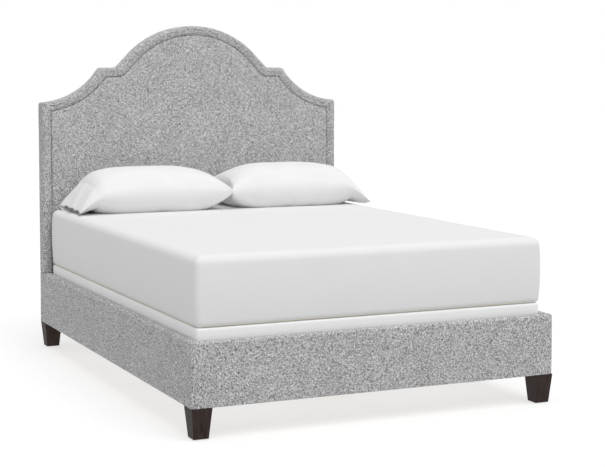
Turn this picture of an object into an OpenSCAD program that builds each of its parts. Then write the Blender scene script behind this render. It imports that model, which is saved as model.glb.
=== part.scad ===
// Queen-size upholstered bed: camelback headboard, padded rails on tapered legs,
// slatted deck, box spring, mattress and two pillows.
// The origin is the middle of the footprint on the floor.
// +Y points to the headboard, +X to the right of someone lying on their back, +Z up.

/* [Mattress set] */
// Width of the mattress and of the box spring
mattress_w = 1524; // [1270:1:1930]
// Length of the mattress and of the box spring
mattress_l = 2032; // [1690:1:2440]
// Height of the mattress
mattress_h = 275; // [229:1:330]
// Height of the box spring
box_spring_h = 229; // [190:1:275]
// Radius of the vertical corners of the mattress
mattress_corner_r = 40; // [20:1:60]
// Gap between the box spring and each side rail
side_gap = 4.5; // [3:0.5:20]
// Gap between the box spring and the foot rail
foot_gap = 11.5; // [3:0.5:30]
// Gap between the mattress and the headboard
head_gap = 18; // [10:1:40]

/* [Rails] */
// Height of the underside of the rails above the floor
rail_z = 122; // [100:1:146]
// Height of the rails
rail_h = 252; // [210:1:302]
// Thickness of the rail boards
board_t = 25; // [21:0.5:30]
// Thickness of the foam on the outside of the rails
rail_foam_t = 8; // [6:0.5:12]
// Thickness of the foam on top of the rails
rail_top_foam_t = 6; // [4:0.5:10]
// Thickness of the upholstery fabric
fabric_t = 1.5; // [1:0.1:2]
// Radius of the upper outside edge of the rails
rail_edge_r = 12; // [9:1:15]
// Radius of the upright corners at the foot of the bed
rail_corner_r = 15; // [12:1:20]

/* [Headboard] */
// Height of the peak of the headboard
headboard_h = 1605; // [1340:1:1926]
// Height of the arch above the ears
arch_rise = 213; // [185:1:245]
// Height of the ears above the shoulders
ear_rise = 172; // [150:1:200]
// Half the width of the arch where it meets the ears
arch_half_w = 405; // [385:1:430]
// Width of the flat top of each ear
ear_w = 90; // [75:1:105]
// Slope of the straight flanks of the arch, in degrees
flank_angle = 46; // [44:1:49]
// Radius of the hollow between each ear and the shoulder
scoop_r = 372; // [365:1:450]
// Width of the border band
border_w = 46; // [38:1:55]
// Width of the pulled groove between the border and the centre pad
groove_w = 5; // [4:0.5:8]
// Thickness of the foam on the front of the headboard
pad_foam_t = 25; // [20:1:30]
// Thickness of the plywood panel
panel_t = 18; // [15:1:22]
// Depth of the timber frame behind the panel
head_frame_t = 34; // [30:1:40]
// Width of the edge frame that follows the outline
edge_frame_w = 30; // [24:1:36]
// Width of the two posts
post_w = 90; // [75:1:108]
// Height of the cross rails between the posts
cross_rail_h = 70; // [58:1:84]

/* [Deck] */
// Number of slats
slat_count = 5; // [4:1:7]
// Width of a slat
slat_w = 90; // [75:1:108]
// Thickness of a slat
slat_t = 19; // [16:0.5:22]
// Distance from the ends of the box spring to the nearest slat
slat_inset = 80; // [50:1:110]
// Height of the ledges and of the centre beam
ledge_h = 45; // [38:1:45]
// Width of the ledges
ledge_w = 30; // [25:1:36]
// Width of the centre beam
beam_w = 44; // [40:1:54]
// Size of the foot corner blocks
block_w = 76; // [66:1:90]
// Sheet thickness of the steel brackets
bracket_t = 3; // [2:0.5:4]
// Width of the square centre legs
centre_leg_w = 40; // [36:1:50]
// Distance of each centre leg from the middle of the bed
centre_leg_y = 480; // [400:10:576]
// Reach of each leveller up and down
leveller_travel = 10; // [8:1:12]

/* [Legs] */
// Width of a leg at the top
leg_top_w = 84; // [76:1:100]
// Width of a leg at the bottom
leg_bottom_w = 61; // [50:1:73]
// Inset of the legs from the outer faces of the rails
leg_inset = 1; // [0:0.5:4]
// Thickness of the glides under the legs
glide_t = 3; // [2:0.5:4]
// Radius of the glides
glide_r = 12; // [10:1:15]

/* [Fasteners] */
// Radius of the main bolts and of the leveller stems
bolt_r = 4; // [3:0.5:5]
// Outer radius of the threaded inserts
insert_r = 6; // [5.5:0.5:7]
// Length of the threaded inserts
insert_l = 28; // [22:1:33]
// Radius of the wood screws
screw_r = 2; // [1.5:0.5:2.5]

/* [Pillows] */
// Length of a pillow from side to side
pillow_w = 765; // [660:1:790]
// Depth of a pillow from front to back
pillow_d = 430; // [360:1:510]
// Height of a pillow
pillow_h = 203; // [170:1:240]
// Width of the open hem of a pillowcase
hem_w = 90; // [75:1:105]

/* [Hidden] */
$fn = 64;

// Overshoot of cutting shapes
eps = 1;
// Overlap that joins two touching shapes
seam = 0.02;
// Facets of the large arcs of the headboard
arc_fn = 180;
// Overall frame, from the mattress outwards
rail_t = fabric_t + rail_foam_t + board_t;
half_w = mattress_w / 2 + side_gap + rail_t;
headboard_t = 2 * fabric_t + pad_foam_t + panel_t + head_frame_t;
half_l = (rail_t + foot_gap + mattress_l + head_gap + headboard_t) / 2;
board_in_x = half_w - rail_t;
foot_in_y = -half_l + rail_t;
rail_top = rail_z + rail_h;
foam_off = fabric_t + rail_foam_t;
board_h = rail_h - 2 * fabric_t - rail_top_foam_t;
// Layers of the headboard, front to back
head_front = half_l - headboard_t;
foam_front = head_front + fabric_t;
panel_front = foam_front + pad_foam_t;
frame_front = panel_front + panel_t;
frame_back = half_l - fabric_t;
// Outline of the headboard
ear_z = headboard_h - arch_rise;
shoulder_z = ear_z - ear_rise;
ear_out = arch_half_w + ear_w;
arch_r = (arch_half_w * sin(flank_angle) - arch_rise * cos(flank_angle)) / (1 - cos(flank_angle));
arch_z = headboard_h - arch_r;
chord_x = half_w - ear_out;
chord_half = sqrt(pow(chord_x, 2) + pow(ear_rise, 2)) / 2;
chord_away = sqrt(pow(scoop_r, 2) - pow(chord_half, 2));
scoop_x = (half_w + ear_out) / 2 + chord_away * ear_rise / (2 * chord_half);
scoop_z = (ear_z + shoulder_z) / 2 + chord_away * chord_x / (2 * chord_half);
// Head rail and posts
head_rail_y = frame_front - board_t;
post_in_x = board_in_x - post_w;
frame_inset = fabric_t + edge_frame_w;
post_clear = 20;
arch_root = 10;
post_top = shoulder_z - frame_inset - post_clear;
// Deck
ledge_clear = 0.5;
deck_z = rail_z + fabric_t + ledge_clear + ledge_h + slat_t;
slat_z = deck_z - slat_t;
ledge_z = slat_z - ledge_h;
bed_foot_y = foot_in_y + foot_gap;
bed_head_y = bed_foot_y + mattress_l;
slat_clear = 6;
slat_step = (mattress_l - 2 * slat_inset - slat_w) / (slat_count - 1);
slat_ys = [for (i = [0 : slat_count - 1]) bed_foot_y + slat_inset + slat_w / 2 + i * slat_step];
slat_screw_x = board_in_x - ledge_w / 2;
slat_screw_grip = 24;
slat_screw_l = slat_t + slat_screw_grip;
leg_screw_l = 90;
leg_screw_head_t = 3;
hanger_drop = 5;
hanger_h = ledge_h - hanger_drop;
hanger_d = 40;
hanger_flange = 25;
// Legs
leg_h = rail_z - glide_t;
leg_x = half_w - leg_inset - leg_top_w / 2;
leg_y = half_l - leg_inset - leg_top_w / 2;
leg_in_x = leg_x - leg_top_w / 2;
leg_in_y = leg_y - leg_top_w / 2;
leg_bolt_x = (board_in_x + leg_in_x) / 2;
leg_bolt_foot_y = (foot_in_y - leg_in_y) / 2;
leg_bolt_head_y = (frame_front + frame_back) / 2;
leg_bolt_depth = 62;
leg_bolt_at = [
    [-leg_bolt_x, leg_bolt_foot_y], [leg_bolt_x, leg_bolt_foot_y],
    [-leg_bolt_x, leg_bolt_head_y], [leg_bolt_x, leg_bolt_head_y]
];
// Levellers
pad_r = 16;
pad_h = 8;
leg_gap = 2;
centre_leg_z = pad_h + leveller_travel + leg_gap;
stem_top = centre_leg_z + insert_l - leveller_travel - leg_gap;
stem_clear = 0.08;
centre_leg_ys = [-centre_leg_y, centre_leg_y];
// Bolts through the posts
bolt_clear = 0.25;
bolt_head_r = 8;
bolt_head_t = 5;
counterbore_r = 9;
counterbore_t = 7;
nut_r = 7;
nut_t = 6.5;
nut_clear = 0.1;
bolt_end = 4;
bolt_head_sink = 1;
low_bolt_share = 0.25;
high_bolt_share = 0.8;
post_bolt_zs = [rail_z + rail_h * low_bolt_share, rail_z + rail_h * high_bolt_share];
post_bolt_x = post_in_x + post_w / 2;
// Wood screws, corner blocks and head brackets
screw_head_r = 2 * screw_r;
screw_head_t = 2;
rail_screw_l = 18;
block_screw_z = ledge_z + ledge_h / 2;
block_screw_rise = 8;
block_screw_margin = 20;
block_screw_off = block_w - block_screw_margin;
bracket_leg = 34;
bracket_h = 110;
bracket_rise = 90;
bracket_z = rail_z + bracket_rise;
bracket_screw_off = 20;
bracket_screw_rise = 12;
bracket_screw_margin = 25;
bracket_screw_zs = [bracket_z + bracket_screw_margin, bracket_z + bracket_h - bracket_screw_margin];
// Box spring, from the bottom up
bs_cover_t = 2;
bs_corner_r = 12;
bs_board_t = 19;
bs_base_h = 64;
bs_top_h = 38;
bs_slat_t = 12;
bs_slat_w = 60;
bs_slat_count = 9;
bs_pad_t = 6;
bs_post = 38;
bs_top = deck_z + box_spring_h;
bs_in_x = mattress_w / 2 - bs_cover_t - bs_corner_r / 2;
bs_foot_y = bed_foot_y + bs_cover_t + bs_corner_r / 2;
bs_head_y = bed_head_y - bs_cover_t - bs_corner_r / 2;
bs_mid_y = (bs_foot_y + bs_head_y) / 2;
bs_l = bs_head_y - bs_foot_y;
bs_pad_z = bs_top - bs_cover_t - bs_pad_t;
bs_slat_z = bs_pad_z - bs_slat_t;
bs_upper_z = bs_slat_z - bs_top_h;
bs_lower_z = deck_z + bs_cover_t;
// Mattress, from the bottom up
sheet_t = 1.2;
sheet_under = 90;
ticking_t = 3;
felt_t = 5;
edge_foam_w = 30;
comfort_t = 28;
row_count = 24;
row_wall = 1.5;
row_gap = 0.5;
mat_z = bs_top;
mat_top = mat_z + mattress_h;
skin = sheet_t + ticking_t;
core_z = mat_z + skin + felt_t;
core_top = mat_top - skin - comfort_t;
row_span = mattress_l - 2 * (skin + edge_foam_w);
row_step = row_span / row_count;
row_clear = 1;
row_half_w = mattress_w / 2 - skin - edge_foam_w - row_clear;
core_corner_r = 1;
// Pillows
pillow_lift = 0.4;
pillow_gap = 6;
pillow_mid_x = 32;
case_t = 1.5;
tick_t = 4;
tip_r = 22;
tip_share = 0.22;
tip_z = pillow_h * tip_share;
tip_fn = 20;
belly_fn = 32;
belly_share = 0.93;
belly_flat = 12;
hem_r = 6;
hem_fn = 16;
pillow_head_gap = 20;
pillow_back = head_front - pillow_head_gap;
pillow_y = pillow_back - pillow_d / 2;
pillow_z = mat_top + pillow_lift;

fabric_grey = [0.66, 0.65, 0.65];
wood_raw = [0.80, 0.66, 0.47];
espresso = [0.17, 0.12, 0.11];
foam_cream = [0.93, 0.89, 0.72];
linen_white = [0.95, 0.95, 0.95];
steel_grey = [0.55, 0.56, 0.58];

// --- Shared shapes ---

// Half the width of the arch at the ears, at an inset d
function arch_foot(d) = arch_half_w - d * tan(flank_angle / 2);

// Front outline of the headboard, moved inwards by d, standing on z0
module headboard_outline(d, z0) {
    r = arch_r - d;
    flank_x = (r - seam) * sin(flank_angle);
    flank_z = arch_z + (r - seam) * cos(flank_angle);
    difference() {
        union() {
            translate([-half_w + d, z0]) square([2 * (half_w - d), ear_z - d - z0]);
            polygon([
                [-arch_foot(d), ear_z - d], [-arch_foot(d), ear_z - d - arch_root],
                [arch_foot(d), ear_z - d - arch_root], [arch_foot(d), ear_z - d],
                [flank_x, flank_z], [-flank_x, flank_z]
            ]);
            intersection() {
                translate([0, arch_z]) circle(r, $fn = arc_fn);
                translate([-half_w, flank_z - arch_root]) square([2 * half_w, headboard_h]);
            }
        }
        for (side = [-1, 1])
            translate([side * scoop_x, scoop_z]) circle(scoop_r + d, $fn = arc_fn);
    }
}

// A layer of the headboard with its outline moved inwards by d, from y0 to y1
module headboard_layer(d, y0, y1, z0 = rail_top) {
    translate([0, y1, 0]) rotate([90, 0, 0]) linear_extrude(y1 - y0) headboard_outline(d, z0);
}

// Cross-section of a padded rail, moved inwards by d; the outer face is on the left
module rail_section(d) {
    translate([d, d]) square([rail_t - d, rail_h - rail_edge_r - d]);
    translate([rail_edge_r, d]) square([rail_t - rail_edge_r, rail_h - 2 * d]);
    translate([rail_edge_r, rail_h - rail_edge_r]) circle(rail_edge_r - d);
}

// Bar of a rail section along Y, for the left side, from y0 to y1
module side_bar(d, y0, y1) {
    translate([-half_w, y1, rail_z]) rotate([90, 0, 0]) linear_extrude(y1 - y0) rail_section(d);
}

// Rectangle from -w to w and from y0 to y1, with its two corners at y1 rounded
module rounded_end(w, y0, y1, r) {
    translate([-w, y0]) square([2 * w, y1 - y0 - r]);
    translate([-w + r, y0]) square([2 * (w - r), y1 - y0]);
    for (side = [-1, 1])
        translate([side * (w - r), y1 - r]) circle(r);
}

// Padded foot rail, moved inwards by d: rounded along its top and at its two upright corners
module foot_form(d) {
    w = half_w - d;
    intersection() {
        translate([-half_w, -half_l, rail_z]) rotate([90, 0, 90])
            linear_extrude(2 * half_w) rail_section(d);
        translate([0, foot_in_y + eps, rail_z]) rotate([90, 0, 0])
            linear_extrude(rail_t + 2 * eps) rounded_end(w, 0, rail_h - d, rail_edge_r - d);
        translate([0, 0, rail_z]) rotate([0, 0, 180])
            linear_extrude(rail_h) rounded_end(w, -foot_in_y - eps, half_l - d, rail_corner_r - d);
    }
}

// Flat plate with rounded vertical edges, centred on the bed, from z0 to z1
module bed_block(inset, r, z0, z1) {
    w = mattress_w - 2 * inset;
    l = mattress_l - 2 * inset;
    translate([0, bed_foot_y + mattress_l / 2, z0]) linear_extrude(z1 - z0) union() {
        square([w - 2 * r, l], center = true);
        square([w, l - 2 * r], center = true);
        for (x = [-1, 1], y = [-1, 1])
            translate([x * (w / 2 - r), y * (l / 2 - r)]) circle(r);
    }
}

// Countersunk wood screw pointing down, with its head flush at z = 0
module wood_screw(l, head_t = screw_head_t) {
    translate([0, 0, -l]) cylinder(h = l, r = screw_r);
    translate([0, 0, -head_t]) cylinder(h = head_t, r = screw_head_r);
}

// --- Headboard ---

module headboard_panel() {
    color(wood_raw) headboard_layer(fabric_t, panel_front, frame_front);
}

module headboard_edge_frame() {
    color(wood_raw) difference() {
        headboard_layer(fabric_t, frame_front, frame_back);
        headboard_layer(frame_inset, frame_front - eps, frame_back + eps, rail_top - eps);
    }
}

// Right-hand post, with counterbored holes for its bolts and one for the leg's insert
module post() {
    color(wood_raw) difference() {
        translate([post_in_x, frame_front, rail_z]) cube([post_w, head_frame_t, post_top - rail_z]);
        for (z = post_bolt_zs) {
            translate([post_bolt_x, frame_back + eps, z]) rotate([90, 0, 0])
                cylinder(h = head_frame_t + 2 * eps, r = bolt_r + bolt_clear);
            translate([post_bolt_x, frame_back + eps, z]) rotate([90, 0, 0])
                cylinder(h = counterbore_t + eps, r = counterbore_r);
        }
        translate([leg_bolt_x, leg_bolt_head_y, rail_z - eps]) cylinder(h = insert_l + eps, r = insert_r);
    }
}

module headboard_post_left() {
    mirror([1, 0, 0]) post();
}

module headboard_post_right() {
    post();
}

module headboard_cross_rails() {
    top_z = post_top - cross_rail_h;
    color(wood_raw) for (z = [rail_top, (rail_top + top_z) / 2, top_z])
        translate([-post_in_x, frame_front, z]) cube([2 * post_in_x, head_frame_t, cross_rail_h]);
}

module headboard_center_foam() {
    inset = border_w + groove_w / 2 + fabric_t;
    color(foam_cream) headboard_layer(inset, foam_front, panel_front);
}

module headboard_border_foam() {
    inner = border_w - groove_w / 2 - fabric_t;
    color(foam_cream) difference() {
        headboard_layer(fabric_t, foam_front, panel_front);
        headboard_layer(inner, foam_front - eps, panel_front + eps, rail_top - eps);
    }
}

module headboard_center_cover() {
    inset = border_w + groove_w / 2;
    color(fabric_grey) difference() {
        headboard_layer(inset, head_front, panel_front);
        headboard_layer(inset + fabric_t, foam_front, panel_front + eps, rail_top - eps);
    }
}

module headboard_border_cover() {
    inner = border_w - groove_w / 2;
    color(fabric_grey) union() {
        difference() {
            headboard_layer(0, head_front, foam_front);
            headboard_layer(inner, head_front - eps, foam_front + eps, rail_top - eps);
        }
        difference() {
            headboard_layer(0, foam_front, frame_back);
            headboard_layer(fabric_t, foam_front - eps, frame_back + eps, rail_top - eps);
        }
        difference() {
            headboard_layer(inner - fabric_t, foam_front, panel_front);
            headboard_layer(inner, foam_front - eps, panel_front + eps, rail_top - eps);
        }
    }
}

module headboard_back_cover() {
    color(fabric_grey) headboard_layer(0, frame_back, half_l);
}

module headboard_bolts() {
    head_y = frame_back - bolt_head_sink;
    nut_y = head_rail_y;
    color(steel_grey) for (side = [-1, 1], z = post_bolt_zs) translate([side * post_bolt_x, 0, z]) {
        translate([0, head_y, 0]) rotate([90, 0, 0])
            cylinder(h = head_y - nut_y + nut_t + bolt_end, r = bolt_r);
        translate([0, head_y, 0]) rotate([90, 0, 0]) cylinder(h = bolt_head_t, r = bolt_head_r);
        translate([0, nut_y, 0]) rotate([90, 0, 0]) difference() {
            cylinder(h = nut_t, r = nut_r, $fn = 6);
            translate([0, 0, -eps]) cylinder(h = nut_t + 2 * eps, r = bolt_r + nut_clear);
        }
    }
}

// --- Rails ---

module side_board() {
    color(wood_raw) difference() {
        translate([-half_w + foam_off, foot_in_y, rail_z + fabric_t])
            cube([board_t, frame_back - foot_in_y, board_h]);
        rail_screw_set();
    }
}

module side_foam() {
    color(foam_cream) difference() {
        side_bar(fabric_t, foot_in_y, frame_back);
        translate([-half_w + foam_off, foot_in_y - eps, rail_z - eps])
            cube([board_t + eps, frame_back - foot_in_y + 2 * eps, board_h + fabric_t + eps]);
    }
}

module side_cover() {
    color(fabric_grey) difference() {
        side_bar(0, foot_in_y, half_l);
        side_bar(fabric_t, foot_in_y - eps, frame_back);
        translate([-board_in_x - fabric_t, foot_in_y - eps, rail_z + fabric_t])
            cube([2 * fabric_t, frame_back - foot_in_y + eps, board_h]);
    }
}

module side_rail_left_board() {
    side_board();
}

module side_rail_left_foam() {
    side_foam();
}

module side_rail_left_cover() {
    side_cover();
}

module side_rail_right_board() {
    mirror([1, 0, 0]) side_board();
}

module side_rail_right_foam() {
    mirror([1, 0, 0]) side_foam();
}

module side_rail_right_cover() {
    mirror([1, 0, 0]) side_cover();
}

module foot_rail_board() {
    color(wood_raw) difference() {
        translate([-half_w + foam_off, -half_l + foam_off, rail_z + fabric_t])
            cube([2 * (half_w - foam_off), board_t, board_h]);
        rail_screw_set();
        mirror([1, 0, 0]) rail_screw_set();
    }
}

module foot_rail_foam() {
    color(foam_cream) difference() {
        foot_form(fabric_t);
        translate([-half_w + foam_off, -half_l + foam_off, rail_z - eps])
            cube([2 * (half_w - foam_off), board_t + eps, board_h + fabric_t + eps]);
    }
}

module foot_rail_cover() {
    color(fabric_grey) difference() {
        foot_form(0);
        foot_form(fabric_t);
    }
}

module head_rail_board() {
    color(wood_raw) difference() {
        translate([-board_in_x, head_rail_y, rail_z + fabric_t])
            cube([2 * board_in_x, board_t, rail_h - fabric_t]);
        for (side = [-1, 1], z = post_bolt_zs)
            translate([side * post_bolt_x, frame_front + eps, z]) rotate([90, 0, 0])
                cylinder(h = board_t + 2 * eps, r = bolt_r + bolt_clear);
        rail_screw_set();
        mirror([1, 0, 0]) rail_screw_set();
    }
}

// Fabric over the back and the underside of the head rail, between the posts
module head_rail_cover() {
    color(fabric_grey) union() {
        translate([-post_in_x, frame_front, rail_z]) cube([2 * post_in_x, fabric_t, rail_h]);
        translate([-post_in_x, head_rail_y, rail_z]) cube([2 * post_in_x, board_t, fabric_t]);
    }
}

// --- Corner joints ---

// Places a screw pointing out of the left side rail's inner face, head inwards
module screw_to_side(y, z, x) {
    translate([-x, y, z]) rotate([0, 90, 0]) children();
}

// Long screws through the foot corner block and short ones through the head bracket, left side
module rail_screw_set() {
    screw_to_side(foot_in_y + block_screw_off, block_screw_z, board_in_x - block_w)
        wood_screw(block_w + rail_screw_l);
    translate([-board_in_x + block_screw_off, foot_in_y + block_w, block_screw_z + block_screw_rise])
        rotate([-90, 0, 0]) wood_screw(block_w + rail_screw_l);
    for (z = bracket_screw_zs) {
        screw_to_side(head_rail_y - bracket_screw_off, z, board_in_x - bracket_t)
            wood_screw(bracket_t + rail_screw_l);
        translate([-board_in_x + bracket_screw_off, head_rail_y - bracket_t, z + bracket_screw_rise])
            rotate([-90, 0, 0]) wood_screw(bracket_t + rail_screw_l);
    }
}

module rail_screws() {
    color(steel_grey) for (side = [0, 1]) mirror([side, 0, 0]) rail_screw_set();
}

module corner_block() {
    color(wood_raw) difference() {
        translate([-board_in_x, foot_in_y, rail_z]) cube([block_w, block_w, slat_z - rail_z]);
        translate([-leg_bolt_x, leg_bolt_foot_y, rail_z - eps])
            cylinder(h = insert_l + eps, r = insert_r);
        rail_screw_set();
    }
}

module corner_block_left() {
    corner_block();
}

module corner_block_right() {
    mirror([1, 0, 0]) corner_block();
}

module head_brackets() {
    color(steel_grey) for (side = [0, 1]) mirror([side, 0, 0]) difference() {
        translate([-board_in_x, head_rail_y - bracket_leg, bracket_z])
            cube([bracket_leg, bracket_leg, bracket_h]);
        translate([-board_in_x + bracket_t, head_rail_y - bracket_leg - eps, bracket_z - eps])
            cube([bracket_leg, bracket_leg + eps - bracket_t, bracket_h + 2 * eps]);
        rail_screw_set();
    }
}

// --- Deck ---

module ledge() {
    color(wood_raw) difference() {
        translate([-board_in_x, foot_in_y + block_w, ledge_z])
            cube([ledge_w, head_rail_y - foot_in_y - block_w - bracket_leg, ledge_h]);
        slat_screw_set();
    }
}

module slat_ledge_left() {
    ledge();
}

module slat_ledge_right() {
    mirror([1, 0, 0]) ledge();
}

module slat_screw_set() {
    for (side = [-1, 1], y = slat_ys)
        translate([side * slat_screw_x, y, deck_z]) wood_screw(slat_screw_l);
}

module leg_screw_set() {
    for (y = centre_leg_ys)
        translate([0, y, slat_z]) wood_screw(leg_screw_l, leg_screw_head_t);
}

module slats() {
    color(wood_raw) difference() {
        for (y = slat_ys)
            translate([-board_in_x + slat_clear, y - slat_w / 2, slat_z])
                cube([2 * (board_in_x - slat_clear), slat_w, slat_t]);
        slat_screw_set();
    }
}

module deck_screws() {
    color(steel_grey) {
        slat_screw_set();
        leg_screw_set();
    }
}

module centre_beam() {
    color(wood_raw) difference() {
        translate([-beam_w / 2, foot_in_y + bracket_t, ledge_z])
            cube([beam_w, head_rail_y - foot_in_y - 2 * bracket_t, ledge_h]);
        leg_screw_set();
    }
}

// Steel pockets on the foot rail and the head rail that hold the ends of the beam
module hanger() {
    outer_w = beam_w + 2 * bracket_t;
    flange_w = outer_w + 2 * hanger_flange;
    translate([-flange_w / 2, 0, ledge_z - bracket_t]) cube([flange_w, bracket_t, hanger_h]);
    difference() {
        translate([-outer_w / 2, 0, ledge_z - bracket_t]) cube([outer_w, hanger_d, hanger_h]);
        translate([-beam_w / 2, bracket_t, ledge_z]) cube([beam_w, hanger_d, hanger_h]);
    }
}

module beam_hangers() {
    color(steel_grey) {
        translate([0, foot_in_y, 0]) hanger();
        translate([0, head_rail_y, 0]) mirror([0, 1, 0]) hanger();
    }
}

module centre_leg(y) {
    color(wood_raw) difference() {
        translate([-centre_leg_w / 2, y - centre_leg_w / 2, centre_leg_z])
            cube([centre_leg_w, centre_leg_w, ledge_z - centre_leg_z]);
        translate([0, y, centre_leg_z - eps]) cylinder(h = insert_l + eps, r = insert_r);
        leg_screw_set();
    }
}

module centre_leg_foot() {
    centre_leg(-centre_leg_y);
}

module centre_leg_head() {
    centre_leg(centre_leg_y);
}

module leveller(y) {
    color(steel_grey) translate([0, y, 0]) {
        cylinder(h = pad_h, r = pad_r);
        cylinder(h = stem_top, r = bolt_r);
    }
}

module leveller_foot() {
    leveller(-centre_leg_y);
}

module leveller_head() {
    leveller(centre_leg_y);
}

module insert(bore_r) {
    difference() {
        cylinder(h = insert_l, r = insert_r);
        translate([0, 0, -eps]) cylinder(h = insert_l + 2 * eps, r = bore_r);
    }
}

module threaded_inserts() {
    color("goldenrod") {
        for (p = leg_bolt_at) translate([p[0], p[1], rail_z]) insert(bolt_r);
        for (y = centre_leg_ys) translate([0, y, centre_leg_z]) insert(bolt_r + stem_clear);
    }
}

// --- Legs ---

// Square leg tapered on all four sides: two crossed prisms with the same sloping sides
module leg_prism() {
    top = leg_top_w / 2;
    bottom = leg_bottom_w / 2;
    translate([0, leg_top_w, glide_t]) rotate([90, 0, 0]) linear_extrude(2 * leg_top_w)
        polygon([[-bottom, 0], [bottom, 0], [top, leg_h], [-top, leg_h]]);
}

module leg(side, end) {
    bolt_y = end < 0 ? leg_bolt_foot_y : leg_bolt_head_y;
    color(espresso) difference() {
        translate([side * leg_x, end * leg_y, 0]) intersection() {
            leg_prism();
            rotate([0, 0, 90]) leg_prism();
        }
        translate([side * leg_bolt_x, bolt_y, rail_z - leg_bolt_depth])
            cylinder(h = leg_bolt_depth + eps, r = bolt_r);
    }
}

module leg_foot_left() {
    leg(-1, -1);
}

module leg_foot_right() {
    leg(1, -1);
}

module leg_head_left() {
    leg(-1, 1);
}

module leg_head_right() {
    leg(1, 1);
}

module leg_bolts() {
    color(steel_grey) for (p = leg_bolt_at) translate([p[0], p[1], rail_z - leg_bolt_depth])
        cylinder(h = leg_bolt_depth + insert_l, r = bolt_r);
}

module leg_glides() {
    color("dimgray") for (x = [-leg_x, leg_x], y = [-leg_y, leg_y])
        translate([x, y, 0]) cylinder(h = glide_t, r = glide_r);
}

// --- Box spring ---

// Perimeter of boards on edge, with its underside at z
module bs_ring(z, h) {
    for (side = [0, 1]) mirror([side, 0, 0])
        translate([bs_in_x - bs_board_t, bs_foot_y, z]) cube([bs_board_t, bs_l, h]);
    for (y = [bs_foot_y, bs_head_y - bs_board_t])
        translate([-bs_in_x + bs_board_t, y, z]) cube([2 * (bs_in_x - bs_board_t), bs_board_t, h]);
}

module box_spring_frame() {
    color(wood_raw) {
        bs_ring(bs_lower_z, bs_base_h);
        bs_ring(bs_upper_z, bs_top_h);
        for (z = [bs_lower_z, bs_upper_z])
            translate([-bs_board_t / 2, bs_foot_y + bs_board_t, z])
                cube([bs_board_t, bs_l - 2 * bs_board_t, z == bs_lower_z ? bs_base_h : bs_top_h]);
    }
}

module box_spring_spacers() {
    z = bs_lower_z + bs_base_h;
    ys = [bs_foot_y, bs_mid_y - bs_post / 2, bs_head_y - bs_post];
    color(wood_raw) for (x = [-bs_in_x, -bs_post / 2, bs_in_x - bs_post], y = ys)
        translate([x, y, z]) cube([bs_post, bs_post, bs_upper_z - z]);
}

module box_spring_slats() {
    step = (bs_l - bs_slat_w) / (bs_slat_count - 1);
    color(wood_raw) for (i = [0 : bs_slat_count - 1])
        translate([-bs_in_x, bs_foot_y + i * step, bs_slat_z]) cube([2 * bs_in_x, bs_slat_w, bs_slat_t]);
}

module box_spring_pad() {
    color(foam_cream) bed_block(bs_cover_t, bs_corner_r - bs_cover_t, bs_pad_z, bs_pad_z + bs_pad_t);
}

module box_spring_cover() {
    color(linen_white) difference() {
        bed_block(0, bs_corner_r, deck_z, bs_top);
        bed_block(bs_cover_t, bs_corner_r - bs_cover_t, deck_z + bs_cover_t, bs_top - bs_cover_t);
    }
}

// --- Mattress ---

module mattress_base_felt() {
    color(foam_cream) bed_block(skin, mattress_corner_r - skin, mat_z + skin, core_z);
}

module mattress_edge_foam() {
    inner = skin + edge_foam_w;
    color(foam_cream) difference() {
        bed_block(skin, mattress_corner_r - skin, core_z, core_top);
        bed_block(inner, core_corner_r, core_z - eps, core_top + eps);
    }
}

// One thin-walled fabric sleeve for each row of pocketed coils
module mattress_pocket_rows() {
    depth = row_step - row_gap;
    h = core_top - core_z;
    y0 = bed_foot_y + skin + edge_foam_w + row_gap / 2;
    color(linen_white) for (i = [0 : row_count - 1]) translate([-row_half_w, y0 + i * row_step, core_z])
        difference() {
            cube([2 * row_half_w, depth, h]);
            translate([-eps, row_wall, row_wall])
                cube([2 * (row_half_w + eps), depth - 2 * row_wall, h - 2 * row_wall]);
        }
}

module mattress_comfort_foam() {
    color(foam_cream) bed_block(skin, mattress_corner_r - skin, core_top, core_top + comfort_t);
}

module mattress_cover() {
    color(linen_white) difference() {
        bed_block(sheet_t, mattress_corner_r - sheet_t, mat_z + sheet_t, mat_top - sheet_t);
        bed_block(skin, mattress_corner_r - skin, mat_z + skin, mat_top - skin);
    }
}

// Sheet over the top and the sides, turned under the mattress all round
module fitted_sheet() {
    color(linen_white) difference() {
        bed_block(0, mattress_corner_r, mat_z, mat_top);
        bed_block(sheet_t, mattress_corner_r - sheet_t, mat_z + sheet_t, mat_top - sheet_t);
        bed_block(sheet_under, mattress_corner_r, mat_z - eps, mat_z + 2 * sheet_t);
    }
}

// --- Pillows ---

// Convex plump form of a pillow, moved inwards by d, lying on z = 0 with its middle at x = y = 0
module pillow_form(d) {
    body_w = pillow_w - hem_w;
    tip_x = body_w / 2 - tip_r;
    tip_y = pillow_d / 2 - tip_r;
    intersection() {
        hull() {
            for (x = [-1, 1], y = [-1, 1])
                translate([x * tip_x, y * tip_y, tip_z]) sphere(tip_r - d, $fn = tip_fn);
            translate([0, 0, pillow_h / 2 - belly_flat])
                scale([belly_share * body_w / 2 - d, belly_share * pillow_d / 2 - d,
                       pillow_h / 2 + belly_flat - d])
                    sphere(1, $fn = belly_fn);
        }
        translate([-pillow_w, -pillow_d, d]) cube([2 * pillow_w, 2 * pillow_d, pillow_h]);
    }
}

// Flattened hem of the pillowcase beyond the insert, on its -X side
module hem_form() {
    root_r = 4 * hem_r;
    root_x = -(pillow_w - hem_w) / 2 + 2 * root_r;
    tip_x = -(pillow_w + hem_w) / 2 + hem_r;
    tip_y = pillow_d / 2 - 2 * root_r;
    hull() for (y = [-1, 1]) {
        translate([tip_x, y * tip_y, 2 * hem_r]) sphere(hem_r, $fn = hem_fn);
        translate([root_x, y * tip_y, tip_z]) sphere(root_r, $fn = hem_fn);
    }
}

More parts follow.
